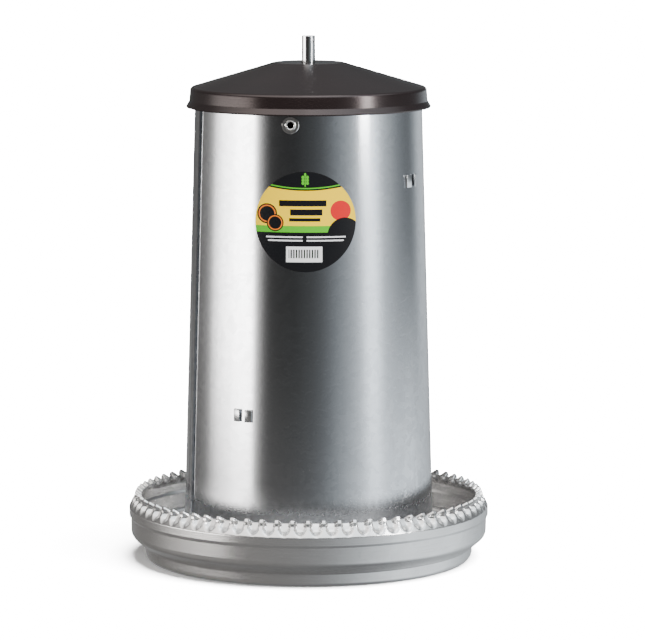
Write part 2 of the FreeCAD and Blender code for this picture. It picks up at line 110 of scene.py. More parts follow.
def by_bearing(levels):
    """A brightness that follows the compass bearing."""
    ramp = world_node("ShaderNodeFloatCurve")
    curve = ramp.mapping.curves[0]
    while len(curve.points) < len(levels):
        curve.points.new(0.5, 0.5)
    for point, (angle, level) in zip(curve.points, levels):
        point.location = ((angle + 180) / 360, level / WALL_TOP)
        point.handle_type = "AUTO_CLAMPED"
    ramp.mapping.update()
    lift = world_node("ShaderNodeMath", operation="MULTIPLY")
    lift.inputs[1].default_value = WALL_TOP
    wall_nodes.links.new(turn.outputs["Result"], ramp.inputs["Value"])
    wall_nodes.links.new(ramp.outputs[0], lift.inputs[0])
    return lift.outputs[0]


# Well below the horizon lies the feeder's own shadow.
SHADOW_LEVEL = 0.2
shadow = world_node("ShaderNodeMapRange", interpolation_type="SMOOTHSTEP")
shadow.inputs["From Min"].default_value = -0.6
shadow.inputs["From Max"].default_value = -0.95
shadow_mix = world_node("ShaderNodeMix", data_type="FLOAT")
shadow_mix.inputs[3].default_value = SHADOW_LEVEL
# The left wall is a warm white, the right one a cooler white.
tint = world_node("ShaderNodeMapRange", interpolation_type="SMOOTHSTEP")
tint.inputs["From Min"].default_value = -0.75
tint.inputs["From Max"].default_value = 0.6
tint_mix = world_node("ShaderNodeMix", data_type="RGBA")
tint_mix.inputs[6].default_value = (1.0, 0.975, 0.95, 1)
tint_mix.inputs[7].default_value = (0.86, 0.94, 1.0, 1)
paper_tint = world_node("ShaderNodeMix", data_type="RGBA")
paper_tint.inputs[7].default_value = (1, 1, 1, 1)
walls = by_bearing(WALLS)
glow = by_bearing(PAPER_GLOW)
foot = world_node("ShaderNodeMapRange", interpolation_type="SMOOTHSTEP")
foot.inputs["From Min"].default_value = -0.085
foot.inputs["From Max"].default_value = -0.16
foot_mix = world_node("ShaderNodeMix", data_type="FLOAT")
ceiling = world_node("ShaderNodeMapRange", interpolation_type="SMOOTHSTEP")
ceiling.inputs["From Min"].default_value = 0.02
ceiling.inputs["From Max"].default_value = 0.085
ceiling_level = world_node("ShaderNodeMapRange")
ceiling_level.inputs["From Min"].default_value = -0.3
ceiling_level.inputs["From Max"].default_value = 0.4
ceiling_level.inputs["To Min"].default_value = 3.4
ceiling_level.inputs["To Max"].default_value = 0.3
above = world_node("ShaderNodeMapRange", interpolation_type="SMOOTHSTEP")
above.inputs["From Min"].default_value = 0.3
above.inputs["From Max"].default_value = 0.6
above_mix = world_node("ShaderNodeMix", data_type="FLOAT")
above_mix.inputs[2].default_value = 0.15
ceiling_mix = world_node("ShaderNodeMix", data_type="FLOAT")
path = world_node("ShaderNodeLightPath")
PAPER_WHITE = 24.0
FILL_LEVEL = 0.35
fill_level = world_node("ShaderNodeMix", data_type="FLOAT")
fill_level.inputs[3].default_value = FILL_LEVEL
paper_level = world_node("ShaderNodeMix", data_type="FLOAT")
paper_level.inputs[3].default_value = PAPER_WHITE
background = world_node("ShaderNodeBackground")
world_output = world_node("ShaderNodeOutputWorld")
for start, end in (
    (direction.outputs["Generated"], split.inputs[0]),
    (split.outputs["Y"], flip.inputs[0]),
    (split.outputs["X"], bearing.inputs[0]),
    (flip.outputs[0], bearing.inputs[1]),
    (bearing.outputs[0], turn.inputs["Value"]),
    (split.outputs["Z"], foot.inputs["Value"]),
    (foot.outputs["Result"], foot_mix.inputs[0]),
    (walls, foot_mix.inputs[2]),
    (split.outputs["Z"], shadow.inputs["Value"]),
    (shadow.outputs["Result"], shadow_mix.inputs[0]),
    (glow, shadow_mix.inputs[2]),
    (shadow_mix.outputs[0], foot_mix.inputs[3]),
    (split.outputs["X"], tint.inputs["Value"]),
    (tint.outputs["Result"], tint_mix.inputs[0]),
    (tint_mix.outputs[2], paper_tint.inputs[6]),
    (path.outputs["Is Camera Ray"], paper_tint.inputs[0]),
    (paper_tint.outputs[2], background.inputs["Color"]),
    (split.outputs["Z"], ceiling.inputs["Value"]),
    (split.outputs["Y"], ceiling_level.inputs["Value"]),
    (ceiling.outputs["Result"], ceiling_mix.inputs[0]),
    (foot_mix.outputs[0], ceiling_mix.inputs[2]),
    (split.outputs["Z"], above.inputs["Value"]),
    (above.outputs["Result"], above_mix.inputs[0]),
    (ceiling_level.outputs["Result"], above_mix.inputs[3]),
    (above_mix.outputs[0], ceiling_mix.inputs[3]),
    (path.outputs["Is Diffuse Ray"], fill_level.inputs[0]),
    (ceiling_mix.outputs[0], fill_level.inputs[2]),
    (path.outputs["Is Camera Ray"], paper_level.inputs[0]),
    (fill_level.outputs[0], paper_level.inputs[2]),
    (paper_level.outputs[0], background.inputs["Strength"]),
    (background.outputs[0], world_output.inputs["Surface"]),
):
    wall_nodes.links.new(start, end)


def softbox(name, bearing_deg, height, distance, width, tall, watts, mirrored=True):
    """A rectangular soft light that faces the middle of the feeder, and may stay out of reflections."""
    data = bpy.data.lights.new(name, "AREA")
    data.shape = "RECTANGLE"
    data.size = width
    data.size_y = tall
    data.energy = watts
    lamp = bpy.data.objects.new(name, data)
    angle = math.radians(bearing_deg)
    lamp.location = (distance * math.sin(angle), -distance * math.cos(angle), height)
    aim = Vector((0, 0, 0.3)) - lamp.location
    lamp.rotation_euler = aim.to_track_quat("-Z", "Y").to_euler()
    lamp.visible_glossy = mirrored
    scene.collection.objects.link(lamp)


softbox("front_fill", 0, 1.2, 3.2, 2.0, 1.5, 95, mirrored=False)
softbox("right_panel", 57, 1.1, 2.6, 0.5, 1.4, 55)
softbox("top_panel", 25, 3.0, 0.9, 1.4, 1.4, 16)

# The paper has a broad light of its own, so that it stays white out to the edges and the feeder
# leaves only a soft shadow at its foot, to the left.
floor_sun = bpy.data.lights.new("floor_sun", "SUN")
floor_sun.energy = 80.0
floor_sun.angle = math.radians(50)
floor_lamp = bpy.data.objects.new("floor_sun", floor_sun)
floor_lamp.rotation_euler = (math.radians(10), math.radians(18), 0)
scene.collection.objects.link(floor_lamp)
floor_only = bpy.data.collections.new("floor_only")
floor_only.objects.link(floor)
floor_lamp.light_linking.receiver_collection = floor_only


# --- base pan -------------------------------------------------------------------------------
# Pressed from one galvanised disc: a raised centre for the bolt, a stepped wall, a crease, and a lip
# that is crimped inwards by a pie-crust tool so that hens can't flick the feed out.

def smooth_corners(corners, fine_above=None, fine_step=1.6, arc_steps=5, guard=0.5):
    """(radius, height) points in millimetres along a bent sheet, its corners rounded to their radii.
    A guard point beside each arc keeps the straight next to it looking straight."""
    points = []
    for i, corner in enumerate(corners):
        here = Vector(corner[:2])
        if len(corner) < 3:
            points.append(here)
            continue
        before = (Vector(corners[i - 1][:2]) - here).normalized()
        after = (Vector(corners[i + 1][:2]) - here).normalized()
        half = before.angle(after) / 2
        reach = corner[2] / math.tan(half)
        centre = here + (before + after).normalized() * corner[2] / math.sin(half)
        first = here + before * reach - centre
        sweep = first.angle_signed(here + after * reach - centre)
        arc = [centre + Matrix.Rotation(-sweep * k / arc_steps, 2) @ first for k in range(arc_steps + 1)]
        for way, neighbour in ((before, corners[i - 1]), (after, corners[i + 1])):
            taken = reach + (neighbour[2] if len(neighbour) > 2 else 0)
            straight = (Vector(neighbour[:2]) - here).length - taken
            if straight > 4 * guard:
                arc.insert(0 if way is before else len(arc), here + way * (reach + guard))
        points += arc
    if fine_above is None:
        return points
    finer = points[:1]
    for a, b in zip(points, points[1:]):
        parts = max(1, math.ceil((b - a).length / fine_step)) if max(a.y, b.y) > fine_above else 1
        finer += [a.lerp(b, k / parts) for k in range(1, parts + 1)]
    return finer


def sheet_section(points, wall):
    """Closed outline of a sheet whose middle follows the points, with rounded edges."""
    left, right = [], []
    for i, here in enumerate(points):
        before = points[max(i - 1, 0)]
        after = points[min(i + 1, len(points) - 1)]
        along = (after - before).normalized()
        side = Vector((-along.y, along.x)) * wall / 2
        left.append(here + side)
        right.append(here - side)
    start = points[0] - (points[1] - points[0]).normalized() * wall / 2
    end = points[-1] + (points[-1] - points[-2]).normalized() * wall / 2
    return [start] + left + [end] + right[::-1]


def turned_mesh(name, outline, steps):
    """Turns a closed outline of (radius, height) in millimetres about the Z axis."""
    count = len(outline)
    vertices = []
    for s in range(steps):
        angle = 2 * math.pi * s / steps
        vertices += [(p.x * math.cos(angle) * MM, p.x * math.sin(angle) * MM, p.y * MM) for p in outline]
    faces = []
    for s in range(steps):
        a, b = s * count, (s + 1) % steps * count
        faces += [(a + i, b + i, b + (i + 1) % count, a + (i + 1) % count) for i in range(count)]
    mesh = bpy.data.meshes.new(name)
    mesh.from_pydata(vertices, [], faces)
    outwards(mesh)
    return mesh


def outwards(mesh, sharp=40):
    """Turns every face outwards and shades it smooth, except across sharp edges."""
    work = bmesh.new()
    work.from_mesh(mesh)
    bmesh.ops.recalc_face_normals(work, faces=work.faces)
    work.to_mesh(mesh)
    work.free()
    mesh.shade_smooth()
    mesh.set_sharp_from_angle(angle=math.radians(sharp))


def show(name, mesh, material, body, slot, *stands_for):
    """Puts a finished mesh in the scene, with its finish, on its body, in place of its CAD nodes."""
    piece = bpy.data.objects.new(name, mesh)
    scene.collection.objects.link(piece)
    mesh.materials.clear()
    mesh.materials.append(material)
    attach(piece, body)
    if stands_for:
        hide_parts(*stands_for)
    return piece


def zinc_group():
    """Hot-dip zinc: spangle crystals, cloudy patches and fine drawing grain that follows one direction."""
    group = bpy.data.node_groups.new("zinc_surface", "ShaderNodeTree")
    face = group.interface
    for name, value in (("Spangle Size", 9.0), ("Spangle Contrast", 0.1), ("Grain Contrast", 0.1),
                        ("Base Roughness", 0.3), ("Roughness Spread", 0.1)):
        face.new_socket(name, in_out="INPUT", socket_type="NodeSocketFloat").default_value = value
    for name in ("Metal Colour", "Dark Colour"):
        socket = face.new_socket(name, in_out="INPUT", socket_type="NodeSocketColor")
        socket.default_value = (0.6, 0.6, 0.6, 1)
    face.new_socket("Place", in_out="INPUT", socket_type="NodeSocketVector")
    face.new_socket("Grain Place", in_out="INPUT", socket_type="NodeSocketVector")
    face.new_socket("Colour", in_out="OUTPUT", socket_type="NodeSocketColor")
    face.new_socket("Roughness", in_out="OUTPUT", socket_type="NodeSocketFloat")
    face.new_socket("Height", in_out="OUTPUT", socket_type="NodeSocketFloat")
    add = group.nodes.new
    given, result = add("NodeGroupInput"), add("NodeGroupOutput")
    link = group.links.new

    def maths(operation, first, second=None, third=None):
        node = add("ShaderNodeMath")
        node.operation = operation
        for socket, value in zip(node.inputs, (first, second, third)):
            if isinstance(value, (int, float)):
                socket.default_value = value
            elif value is not None:
                link(value, socket)
        return node.outputs[0]

    crystals = add("ShaderNodeTexVoronoi")
    crystals.feature = "F1"
    warp = add("ShaderNodeTexNoise")
    warp.inputs["Scale"].default_value = 60
    warp.inputs["Detail"].default_value = 3
    link(given.outputs["Place"], warp.inputs["Vector"])
    bent = add("ShaderNodeMixRGB")
    bent.blend_type = "LINEAR_LIGHT"
    bent.inputs[0].default_value = 0.012
    link(given.outputs["Place"], bent.inputs[1])
    link(warp.outputs["Color"], bent.inputs[2])
    size = maths("DIVIDE", 1000.0, given.outputs["Spangle Size"])
    link(bent.outputs[0], crystals.inputs["Vector"])
    link(size, crystals.inputs["Scale"])
    shade = add("ShaderNodeSeparateColor")
    link(crystals.outputs["Color"], shade.inputs[0])
    cloud = add("ShaderNodeTexNoise")
    cloud.inputs["Scale"].default_value = 14
    cloud.inputs["Detail"].default_value = 5
    cloud.inputs["Roughness"].default_value = 0.6
    link(given.outputs["Place"], cloud.inputs["Vector"])
    grain = add("ShaderNodeTexNoise")
    grain.inputs["Scale"].default_value = 1
    grain.inputs["Detail"].default_value = 4
    link(given.outputs["Grain Place"], grain.inputs["Vector"])
    spangle = maths("MULTIPLY", maths("SUBTRACT", shade.outputs[0], 0.5), given.outputs["Spangle Contrast"])
    grained = maths("MULTIPLY", maths("SUBTRACT", grain.outputs["Fac"], 0.5), given.outputs["Grain Contrast"])
    clouded = maths("MULTIPLY", maths("SUBTRACT", cloud.outputs["Fac"], 0.5), 0.35)
    total = maths("ADD", maths("ADD", spangle, grained), clouded)
    mask = maths("ADD", total, 0.72)
    mix = add("ShaderNodeMix")
    mix.data_type = "RGBA"
    link(mask, mix.inputs[0])
    link(given.outputs["Dark Colour"], mix.inputs[6])
    link(given.outputs["Metal Colour"], mix.inputs[7])
    link(mix.outputs[2], result.inputs["Colour"])
    spread = maths("MULTIPLY", total, given.outputs["Roughness Spread"])
    link(maths("SUBTRACT", given.outputs["Base Roughness"], spread), result.inputs["Roughness"])
    link(maths("ADD", spangle, grained), result.inputs["Height"])
    return group


zinc_surface = zinc_group()


def zinc(name, colour, dark, roughness, spangle, contrast, grain, grain_scale, bump, metallic=1.0):
    """A zinc finish. grain_scale stretches the grain: small along the way the sheet was drawn."""
    material = bpy.data.materials.new(name)
    material.use_nodes = True
    tree = material.node_tree
    shader = tree.nodes["Principled BSDF"]
    shader.inputs["Metallic"].default_value = metallic
    place = tree.nodes.new("ShaderNodeTexCoord")
    stretch = tree.nodes.new("ShaderNodeMapping")
    stretch.inputs["Scale"].default_value = grain_scale
    effect = tree.nodes.new("ShaderNodeGroup")
    effect.node_tree = zinc_surface
    effect.inputs["Metal Colour"].default_value = (*colour, 1)
    effect.inputs["Dark Colour"].default_value = (*dark, 1)
    effect.inputs["Base Roughness"].default_value = roughness
    effect.inputs["Spangle Size"].default_value = spangle
    effect.inputs["Spangle Contrast"].default_value = contrast
    effect.inputs["Grain Contrast"].default_value = grain
    ripple = tree.nodes.new("ShaderNodeBump")
    ripple.inputs["Strength"].default_value = bump
    ripple.inputs["Distance"].default_value = 0.0004
    tree.links.new(place.outputs["Object"], effect.inputs["Place"])
    tree.links.new(place.outputs["Object"], stretch.inputs["Vector"])
    tree.links.new(stretch.outputs[0], effect.inputs["Grain Place"])
    tree.links.new(effect.outputs["Colour"], shader.inputs["Base Color"])
    tree.links.new(effect.outputs["Roughness"], shader.inputs["Roughness"])
    tree.links.new(effect.outputs["Height"], ripple.inputs["Height"])
    tree.links.new(ripple.outputs[0], shader.inputs["Normal"])
    return material


pan_zinc = zinc("pan_zinc", (0.72, 0.71, 0.70), (0.46, 0.45, 0.44), 0.23, 12, 0.10, 0.35, (30, 30, 700), 0.25,
                metallic=0.93)

pan_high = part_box("base_pan")[1]
PAN_WALL = 0.8
PAN_RADIUS = pan_high.x / MM
PAN_TOP = pan_high.z / MM
mid_wall = PAN_RADIUS - PAN_WALL / 2
LIP_BEND = 57.5
LIP_LEAN = 8.7
pan_path = smooth_corners([
    (4.65, 13.6), (22, 13.6, 5), (60, 0.4, 8), (mid_wall - 18.3, 0.4, 6), (mid_wall - 17.6, 14.5, 2.5),
    (mid_wall - 2.2, 27, 9), (mid_wall - 1.8, 46, 1.2), (mid_wall, 49, 1.2), (mid_wall, LIP_BEND, 3),
    (mid_wall - LIP_LEAN, PAN_TOP - PAN_WALL / 2),
], fine_above=LIP_BEND, fine_step=1.6, arc_steps=4)
CRIMPS = 72
pan_blank = turned_mesh("pan_blank", sheet_section(pan_path, PAN_WALL), CRIMPS * 10)


def crimp_tree():
    """Scoops a rounded pocket between every two ridges of the lip, and leaves a bead on each ridge."""
    tree = bpy.data.node_groups.new("crimped_lip", "GeometryNodeTree")
    face = tree.interface
    face.new_socket("Geometry", in_out="INPUT", socket_type="NodeSocketGeometry")
    for name, value in (("Crimps", 72.0), ("Lip Start", 0.0575), ("Lip Top", 0.075), ("Depth", 0.004),
                        ("Drop", 0.003), ("Bead", 0.001), ("Softness", 0.2)):
        face.new_socket(name, in_out="INPUT", socket_type="NodeSocketFloat").default_value = value
    face.new_socket("Finish", in_out="INPUT", socket_type="NodeSocketMaterial")
    face.new_socket("Geometry", in_out="OUTPUT", socket_type="NodeSocketGeometry")
    add, link = tree.nodes.new, tree.links.new
    given, result = add("NodeGroupInput"), add("NodeGroupOutput")

    def maths(operation, first, second=None):
        node = add("ShaderNodeMath")
        node.operation = operation
        for socket, value in zip(node.inputs, (first, second)):
            if isinstance(value, (int, float)):
                socket.default_value = value
            elif value is not None:
                link(value, socket)
        return node.outputs[0]

    def smooth(value, low, high):
        node = add("ShaderNodeMapRange")
        node.interpolation_type = "SMOOTHSTEP"
        link(value, node.inputs["Value"])
        for socket, limit in ((node.inputs["From Min"], low), (node.inputs["From Max"], high)):
            if isinstance(limit, (int, float)):
                socket.default_value = limit
            else:
                link(limit, socket)
        return node.outputs["Result"]

    where = add("GeometryNodeInputPosition")
    apart = add("ShaderNodeSeparateXYZ")
    link(where.outputs[0], apart.inputs[0])
    x, y, z = apart.outputs
    climb = add("ShaderNodeMapRange")
    link(z, climb.inputs["Value"])
    link(given.outputs["Lip Start"], climb.inputs["From Min"])
    link(given.outputs["Lip Top"], climb.inputs["From Max"])
    up = climb.outputs["Result"]
    # Half the ridge's width against the height: flared at its foot, a neck, then the bead.
    width = add("ShaderNodeFloatCurve")
    profile = width.mapping.curves[0]
    ridge = ((0, 1.0), (0.12, 0.86), (0.32, 0.52), (0.56, 0.33), (0.68, 0.30), (0.80, 0.40), (0.90, 0.46),
             (1, 0.40))
    while len(profile.points) < len(ridge):
        profile.points.new(0.5, 0.5)
    for point, place in zip(profile.points, ridge):
        point.location = place
    width.mapping.update()
    link(up, width.inputs["Value"])
    angle = maths("ARCTAN2", y, x)
    wave = maths("COSINE", maths("MULTIPLY", angle, given.outputs["Crimps"]))
    # 0 in the middle of a ridge, 1 in the middle of the pocket.
    across = maths("DIVIDE", maths("ARCCOSINE", maths("MULTIPLY", wave, 0.9999)), math.pi)
    edge = width.outputs[0]
    softness = given.outputs["Softness"]
    pocket = smooth(across, maths("SUBTRACT", edge, softness), maths("ADD", edge, softness))
    sunk = maths("MULTIPLY", pocket, smooth(up, 0.0, 0.5))
    bead = maths("MULTIPLY", maths("SUBTRACT", 1.0, pocket), smooth(up, 0.62, 0.86))
    radius = maths("SQRT", maths("ADD", maths("MULTIPLY", x, x), maths("MULTIPLY", y, y)))
    raised = maths("MULTIPLY", bead, given.outputs["Bead"])
    pushed = maths("SUBTRACT", raised, maths("MULTIPLY", sunk, given.outputs["Depth"]))
    outwards_by = maths("DIVIDE", pushed, radius)
    fall = maths("MULTIPLY", maths("MULTIPLY", pocket, maths("POWER", up, 2.0)), given.outputs["Drop"])
    shift = add("ShaderNodeCombineXYZ")
    link(maths("MULTIPLY", x, outwards_by), shift.inputs["X"])
    link(maths("MULTIPLY", y, outwards_by), shift.inputs["Y"])
    link(maths("MULTIPLY", fall, -1.0), shift.inputs["Z"])
    move = add("GeometryNodeSetPosition")
    link(given.outputs["Geometry"], move.inputs["Geometry"])
    link(shift.outputs[0], move.inputs["Offset"])
    real = add("GeometryNodeRealizeInstances")
    link(move.outputs[0], real.inputs[0])
    paint = add("GeometryNodeSetMaterial")
    link(real.outputs[0], paint.inputs["Geometry"])
    link(given.outputs["Finish"], paint.inputs["Material"])
    link(paint.outputs[0], result.inputs[0])
    return tree


def grown(name, blank, tree, values):
    """The plain mesh that a geometry tree makes from a blank, with the tree's inputs set by name."""
    holder = bpy.data.objects.new(name + "_blank", blank)
    scene.collection.objects.link(holder)
    modifier = holder.modifiers.new("shape", "NODES")
    modifier.node_group = tree
    sockets = {item.name: item.identifier for item in tree.interface.items_tree if item.in_out == "INPUT"}
    for key, value in values.items():
        modifier[sockets[key]] = value
    seen_by = bpy.context.evaluated_depsgraph_get()
    mesh = bpy.data.meshes.new_from_object(holder.evaluated_get(seen_by))
    mesh.name = name
    bpy.data.objects.remove(holder)
    outwards(mesh)
    return mesh


pan_mesh = grown("base_pan_crimped", pan_blank, crimp_tree(), {
    "Crimps": float(CRIMPS), "Lip Start": (LIP_BEND - 1) * MM, "Lip Top": PAN_TOP * MM,
    "Depth": 0.0045, "Drop": 0.0042, "Bead": 0.0012, "Softness": 0.17, "Finish": pan_zinc,
})
show("base_pan_crimped", pan_mesh, pan_zinc, "base", "pan_zinc", "base_pan")


# --- feed cone ------------------------------------------------------------------------------
# Spun from thin galvanised sheet and spot-welded to the middle of the pan by its flat flange.
CONE_WALL = 0.6
cone_low, cone_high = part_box("feed_cone")
cone_foot = cone_low.z / MM + CONE_WALL / 2
cone_path = smooth_corners([
    (92, cone_foot), (80, cone_foot, 3), (9.9, 47, 1.5), (8.4, 49, 1.5),
    (8.4, cone_high.z / MM - CONE_WALL / 2),
])
cone_zinc = zinc("cone_zinc", (0.68, 0.68, 0.68), (0.44, 0.44, 0.44), 0.3, 10, 0.10, 0.3, (40, 40, 600), 0.2)
show("feed_cone_spun", turned_mesh("feed_cone_spun", sheet_section(cone_path, CONE_WALL), 192),
     cone_zinc, "base", "pan_zinc", "feed_cone")


# --- centre tube ----------------------------------------------------------------------------
# Zinc-plated steel tube, cut square and deburred, drilled through near the top for hanging and in a
# row of seven low down for setting the feed gap.
TUBE_RADIUS = 7.5
TUBE_BORE = 6.5
tube_low, tube_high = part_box("centre_tube")
HOLE_BEARING = 55.0
HOLE_RADIUS = 2.5
HANG_HOLE_DROP = 6.0
STEP_HOLES = 7
STEP_PITCH = 12.0
STEPS_BELOW_PIN = 3
DRILL_LENGTH = 40
hang_height = tube_high.z / MM - HANG_HOLE_DROP
pin_height = (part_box("height_pin")[0].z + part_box("height_pin")[1].z) / 2 / MM


def cut_away(mesh, cutters):
    """The mesh with the cutting meshes taken out of it."""
    target = bpy.data.objects.new("cut_target", mesh)
    scene.collection.objects.link(target)
    tool_mesh = bpy.data.meshes.new("cut_tool")
    joined = bmesh.new()
    for cutter in cutters:
        joined.from_mesh(cutter)
    joined.to_mesh(tool_mesh)
    joined.free()
    tool = bpy.data.objects.new("cut_tool", tool_mesh)
    scene.collection.objects.link(tool)
    modifier = target.modifiers.new("cut", "BOOLEAN")
    modifier.operation = "DIFFERENCE"
    modifier.solver = "EXACT"
    modifier.use_self = True
    modifier.object = tool
    seen_by = bpy.context.evaluated_depsgraph_get()
    result = bpy.data.meshes.new_from_object(target.evaluated_get(seen_by))
    result.name = mesh.name
    bpy.data.objects.remove(target)
    bpy.data.objects.remove(tool)
    outwards(result)
    return result


def facing(bearing_deg, distance=0.0, height=0.0):
    """Places something made along +Z so that it points away from the centre line at a bearing."""
    angle = math.radians(bearing_deg)
    spot = Vector((math.sin(angle) * distance * MM, -math.cos(angle) * distance * MM, height * MM))
    return Matrix.Translation(spot) @ Matrix.Rotation(angle, 4, "Z") @ Matrix.Rotation(math.pi / 2, 4, "X")


def rod(radius, length, sides=48):
    """A closed round bar along +Z, centred, in millimetres."""
    near_axis = 0.001
    end = length / 2
    outline = [Vector(p) for p in ((near_axis, -end), (radius, -end), (radius, end), (near_axis, end))]
    return turned_mesh("rod", outline, sides)


def drill(bearing_deg, height, radius, length, distance=0.0):
    """A bar that points outwards at a bearing, for cutting a round hole."""
    bar = rod(radius, length)
    bar.transform(facing(bearing_deg, distance, height))
    return bar


CHAMFER = 0.35
tube_outline = [Vector(p) for p in (
    (TUBE_BORE, tube_low.z / MM), (TUBE_RADIUS, tube_low.z / MM),
    (TUBE_RADIUS, tube_high.z / MM - CHAMFER), (TUBE_RADIUS - CHAMFER * 0.7, tube_high.z / MM),
    (TUBE_BORE + 0.1, tube_high.z / MM), (TUBE_BORE, tube_high.z / MM - CHAMFER),
)]
tube_holes = [drill(HOLE_BEARING, hang_height, HOLE_RADIUS, DRILL_LENGTH)]
for k in range(STEP_HOLES):
    height = pin_height + (k - STEPS_BELOW_PIN) * STEP_PITCH
    tube_holes.append(drill(HOLE_BEARING, height, HOLE_RADIUS, DRILL_LENGTH))
tube_mesh = cut_away(turned_mesh("centre_tube_drilled", tube_outline, 96), tube_holes)
outwards(tube_mesh, 25)
tube_zinc = zinc("tube_zinc", (0.72, 0.72, 0.72), (0.45, 0.45, 0.45), 0.13, 8, 0.08, 0.3, (25, 25, 900), 0.04)
show("centre_tube_drilled", tube_mesh, tube_zinc, "base", "tube_zinc", "centre_tube")


# --- bolt, washers, plug and pin ------------------------------------------------------------
# Bright zinc-plated hardware: the hexagon bolt pulls the pan up against the tube through a flat and a
# split washer, a threaded plug fills the tube's foot, and a ring-ended pin carries the hopper.
bright_zinc = zinc("bright_zinc", (0.78, 0.77, 0.73), (0.55, 0.54, 0.5), 0.22, 4, 0.06, 0.25,
                   (300, 300, 300), 0.15)


def bevelled_copy(node, width, name):
    """A CAD piece's own shape, its triangles merged and its edges broken by a fine bevel."""
    work = bmesh.new()
    work.from_mesh(nodes[node].data)
    bmesh.ops.remove_doubles(work, verts=work.verts, dist=1e-6)
    bmesh.ops.dissolve_limit(work, angle_limit=math.radians(0.5), verts=work.verts, edges=work.edges)
    mesh = bpy.data.meshes.new(name)
    work.to_mesh(mesh)
    work.free()
    holder = bpy.data.objects.new(name + "_raw", mesh)
    scene.collection.objects.link(holder)
    bevel = holder.modifiers.new("edges", "BEVEL")
    bevel.width = width * MM
    bevel.segments = 2
    bevel.limit_method = "ANGLE"
    bevel.angle_limit = math.radians(35)
    bevel.harden_normals = False
    seen_by = bpy.context.evaluated_depsgraph_get()
    result = bpy.data.meshes.new_from_object(holder.evaluated_get(seen_by))
    result.name = name
    bpy.data.objects.remove(holder)
    outwards(result, 30)
    return result


for node, body, width in (
    ("tube_plug", "base", 0.2), ("foot_washer", "base", 0.15), ("bolt_washer", "base", 0.15),
    ("spring_washer", "base", 0.15), ("pan_bolt", "base", 0.3), ("height_pin", "pin", 0.25),
):
    plated = bevelled_copy(node, width, node + "_plated")
    show(node + "_plated", plated, bright_zinc, body, "fastener_zinc", node)


# --- hopper ---------------------------------------------------------------------------------
# Galvanised sheet rolled into a tapered drum. Top and bottom edges are folded inwards, the upright
# joint is a flattened lock seam, and slots and eyelet holes are punched through the wall.
HOPPER_WALL = 0.6
HEM_FOLD = 1.0
HEM_HEIGHT = 8.0
HOPPER_FOOT = 139.0
HOPPER_HEAD = 124.6
shell_low, shell_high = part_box("hopper_shell")
hopper_bottom = shell_low.z / MM
hopper_top = shell_high.z / MM
TAPER = (HOPPER_FOOT - HOPPER_HEAD) / (hopper_top - hopper_bottom)


def hopper_radius(height):
    """Outside of the hopper's wall, in millimetres."""
    return HOPPER_FOOT - (height - hopper_bottom) * TAPER


foot = HOPPER_FOOT - HOPPER_WALL / 2
head = HOPPER_HEAD - HOPPER_WALL / 2
low_edge = hopper_bottom + HOPPER_WALL / 2
high_edge = hopper_top - HOPPER_WALL / 2
hopper_path = smooth_corners([
    (foot - HEM_FOLD, low_edge + HEM_HEIGHT), (foot - HEM_FOLD, low_edge, 0.45), (foot, low_edge, 0.45),
    (head, high_edge, 0.45), (head - HEM_FOLD, high_edge, 0.45), (head - HEM_FOLD, high_edge - HEM_HEIGHT),
], fine_above=0, fine_step=20)
hopper_blank = turned_mesh("hopper_rolled", sheet_section(hopper_path, HOPPER_WALL), 360)

UPPER_BAR = (61.0, 426.0)
LOWER_BAR = (-31.5, 176.0)
EYELETS = ((-8.6, 491.5), (171.4, 491.5))
BAR_WIDTH = 22.6
BAR_DEPTH = 13.5
BAR_WALL = 1.2
SLOT_PLAY = 0.3
punches = [drill(bearing, height, 4.4, 30, hopper_radius(height)) for bearing, height in EYELETS]
for bearing, height in (UPPER_BAR, LOWER_BAR):
    for end in (0, 180):
        for side in (-1, 1):
            punch = bmesh.new()
            bmesh.ops.create_cube(punch, size=1)
            bmesh.ops.scale(punch, verts=punch.verts, vec=(
                (BAR_WALL + 2 * SLOT_PLAY) * MM, (BAR_DEPTH + 2 * SLOT_PLAY) * MM, 30 * MM))
            bmesh.ops.translate(punch, verts=punch.verts, vec=(side * (BAR_WIDTH - BAR_WALL) / 2 * MM, 0, 0))
            mesh = bpy.data.meshes.new("slot_punch")
            punch.to_mesh(mesh)
            punch.free()
            mesh.transform(facing(bearing + end, hopper_radius(height), height))
            punches.append(mesh)
hopper_mesh = cut_away(hopper_blank, punches)

# The lock seam: a flat strip of folded sheet, undercut along its near edge where the fold closes.
SEAM_NEAR = -68.0
SEAM_WIDTH = 10.4
SEAM_RISE = 2.2
seam_low = hopper_bottom + HEM_HEIGHT
seam_high = hopper_top - HEM_HEIGHT
seam_section = [
    (2.6, -0.2), (2.5, 1.15), (0.3, 1.2), (0.0, 1.45), (0.05, 1.85), (0.4, SEAM_RISE),
    (SEAM_WIDTH - 0.9, SEAM_RISE), (SEAM_WIDTH - 0.25, SEAM_RISE - 0.5), (SEAM_WIDTH, 0.9),
    (SEAM_WIDTH - 0.1, -0.2),
]
seam = bmesh.new()
rings = []
SEAM_STEPS = 24
for k in range(SEAM_STEPS + 1):
    height = seam_low + (seam_high - seam_low) * k / SEAM_STEPS
    radius = hopper_radius(height)
    ring = []
    for across, rise in seam_section:
        angle = math.radians(SEAM_NEAR) - across / HOPPER_FOOT
        far = (radius + rise) * MM
        ring.append(seam.verts.new((math.sin(angle) * far, -math.cos(angle) * far, height * MM)))
    rings.append(ring)
for a, b in zip(rings, rings[1:]):
    for i in range(len(a)):
        j = (i + 1) % len(a)
        seam.faces.new((a[i], a[j], b[j], b[i]))
seam.faces.new(rings[0])
seam.faces.new(rings[-1][::-1])
seam_mesh = bpy.data.meshes.new("hopper_seam")
seam.to_mesh(seam_mesh)
seam.free()
outwards(seam_mesh)
